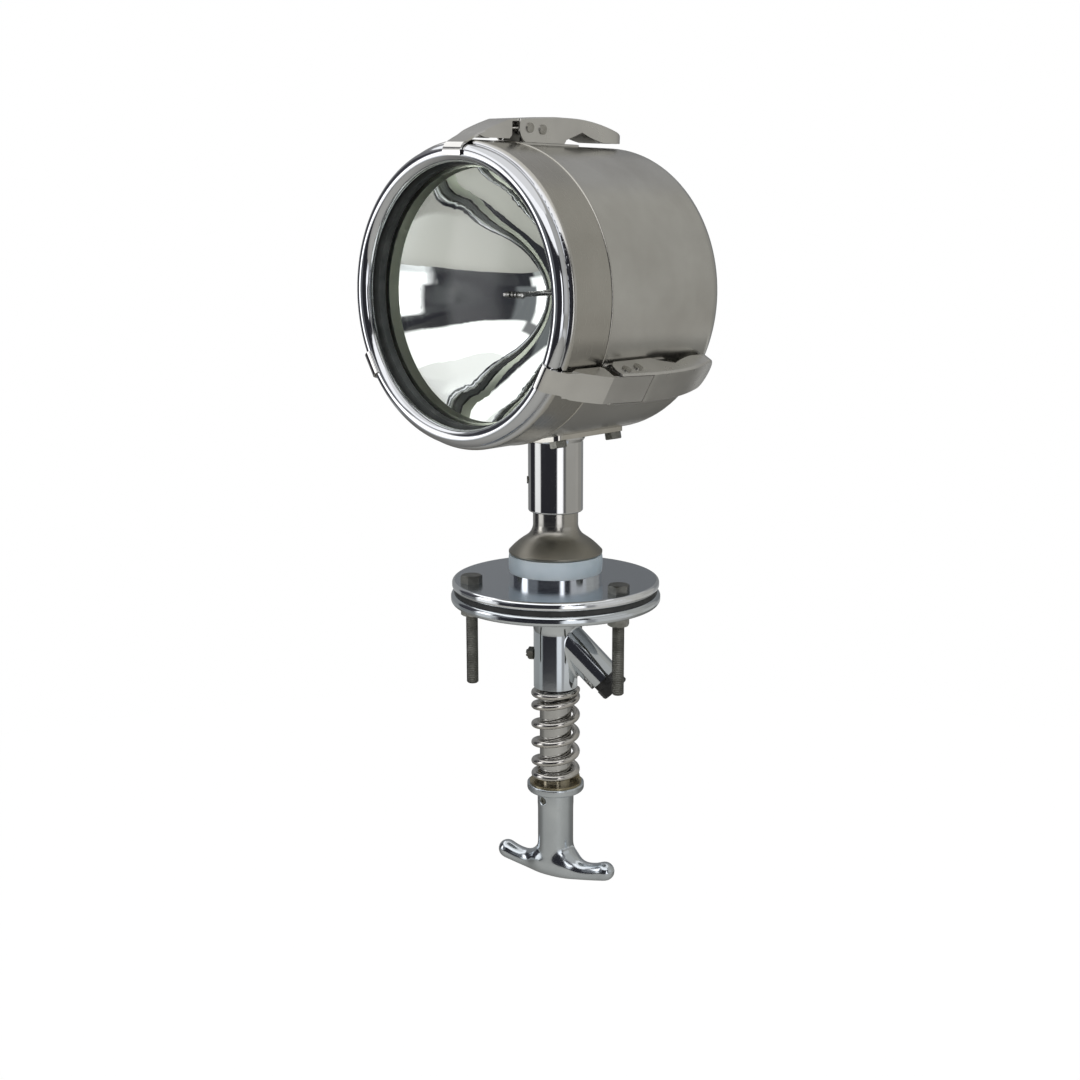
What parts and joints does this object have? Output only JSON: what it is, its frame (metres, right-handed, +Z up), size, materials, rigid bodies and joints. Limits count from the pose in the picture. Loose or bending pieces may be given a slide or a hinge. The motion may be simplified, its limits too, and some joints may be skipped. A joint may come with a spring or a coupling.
{
  "type": "marine searchlight",
  "caption": "Roof-mounted searchlight: latched steel lamp drum on a pedestal that turns on a clamped deck flange, worked by a sprung T handle below.",
  "frame": {"origin": "centre of the deck gasket's underside, on the column's axis, where the part stands on the roof", "axes": "+Z up along the column, the beam points along -Y, +X is to the right seen from the front"},
  "size_m": [0.2002, 0.1674, 0.5205],
  "materials": {
    "brushed_steel": "brushed",
    "polished_steel": "polished",
    "latch_steel": "satin",
    "satin_steel": "satin",
    "bolt_steel": "dull",
    "plated_steel": "satin",
    "spring_steel": "satin",
    "chrome": "polished",
    "bronze": "satin",
    "brass": "satin",
    "wire": "satin",
    "white_nylon": "satin",
    "black_plastic": "satin",
    "rubber": "matte",
    "glass": "clear",
    "mirror": "mirrored inside"
  },
  "bodies": {
    "base": {"deck_gasket": "rubber", "upper_plate": "plated_steel", "lower_flange": "plated_steel", "clamp_bolts": "bolt_steel", "clamp_nuts": "bolt_steel", "gland_body": "black_plastic", "gland_seal": "rubber", "gland_nut": "black_plastic", "lock_screw": "bolt_steel", "lock_nut": "bolt_steel", "friction_ring": "white_nylon", "spring": "spring_steel"},
    "lift": {"thrust_washer": "bronze"},
    "head": {"rod": "chrome", "bell": "chrome", "pedestal_tube": "chrome", "pedestal_screw": "bolt_steel", "saddle_plate": "satin_steel", "saddle_bolts": "bolt_steel", "saddle_nuts": "bolt_steel", "cable_grommet": "rubber", "housing_body": "brushed_steel", "front_ring": "polished_steel", "mouth_seal": "rubber", "lens_gasket": "rubber", "lamp_lens": "glass", "lamp_reflector": "mirror", "filament_posts": "wire", "filament": "wire", "lamp_terminals": "brass", "retaining_ring": "satin_steel", "t_handle": "chrome", "handle_screw": "bolt_steel", "top_latch_bracket": "latch_steel", "top_latch_pivot_pin": "latch_steel", "left_latch_bracket": "latch_steel", "left_latch_pivot_pin": "latch_steel", "right_latch_bracket": "latch_steel", "right_latch_pivot_pin": "latch_steel"},
    "top_lever": {"top_latch_lever": "latch_steel", "top_latch_link_pin": "latch_steel"},
    "top_arm": {"top_latch_arm": "latch_steel"},
    "left_lever": {"left_latch_lever": "latch_steel", "left_latch_link_pin": "latch_steel"},
    "left_arm": {"left_latch_arm": "latch_steel"},
    "right_lever": {"right_latch_lever": "latch_steel", "right_latch_link_pin": "latch_steel"},
    "right_arm": {"right_latch_arm": "latch_steel"}
  },
  "joints": [
    {"name": "handle_lift", "type": "slide", "parent": "base", "child": "lift", "axis": [0, 0, 1], "range_m": [0, 0.004], "stiffness_N_per_m": 60000, "springref_m": -0.003, "deforming": ["spring"]},
    {"name": "pan", "type": "hinge", "parent": "lift", "child": "head", "pos_m": [0, 0, 0], "axis": [0, 0, 1], "range_deg": [-175, 175]},
    {"name": "top_lever_swing", "type": "hinge", "parent": "head", "child": "top_lever", "pos_m": [0.00447, -0.04, 0.303], "axis": [0.999, 0, -0.0436], "range_deg": [0, 75]},
    {"name": "top_arm_swing", "type": "hinge", "parent": "top_lever", "child": "top_arm", "pos_m": [0.00444, -0.0285, 0.3023], "axis": [0.999, 0, -0.0436], "range_deg": [-87, 0]},
    {"name": "left_lever_swing", "type": "hinge", "parent": "head", "child": "left_lever", "pos_m": [-0.08832, -0.04, 0.14858], "axis": [-0.5075, 0, 0.8616], "range_deg": [0, 75]},
    {"name": "left_arm_swing", "type": "hinge", "parent": "left_lever", "child": "left_arm", "pos_m": [-0.08771, -0.0285, 0.14893], "axis": [-0.5075, 0, 0.8616], "range_deg": [-87, 0]},
    {"name": "right_lever_swing", "type": "hinge", "parent": "head", "child": "right_lever", "pos_m": [0.08921, -0.04, 0.15013], "axis": [-0.4924, 0, -0.8704], "range_deg": [0, 75]},
    {"name": "right_arm_swing", "type": "hinge", "parent": "right_lever", "child": "right_arm", "pos_m": [0.0886, -0.0285, 0.15047], "axis": [-0.4924, 0, -0.8704], "range_deg": [-87, 0]}
  ],
  "couplings": [
    {"joint": "top_arm_swing", "follows": "top_lever_swing", "ratio": -1.15},
    {"joint": "left_arm_swing", "follows": "left_lever_swing", "ratio": -1.15},
    {"joint": "right_arm_swing", "follows": "right_lever_swing", "ratio": -1.15}
  ]
}
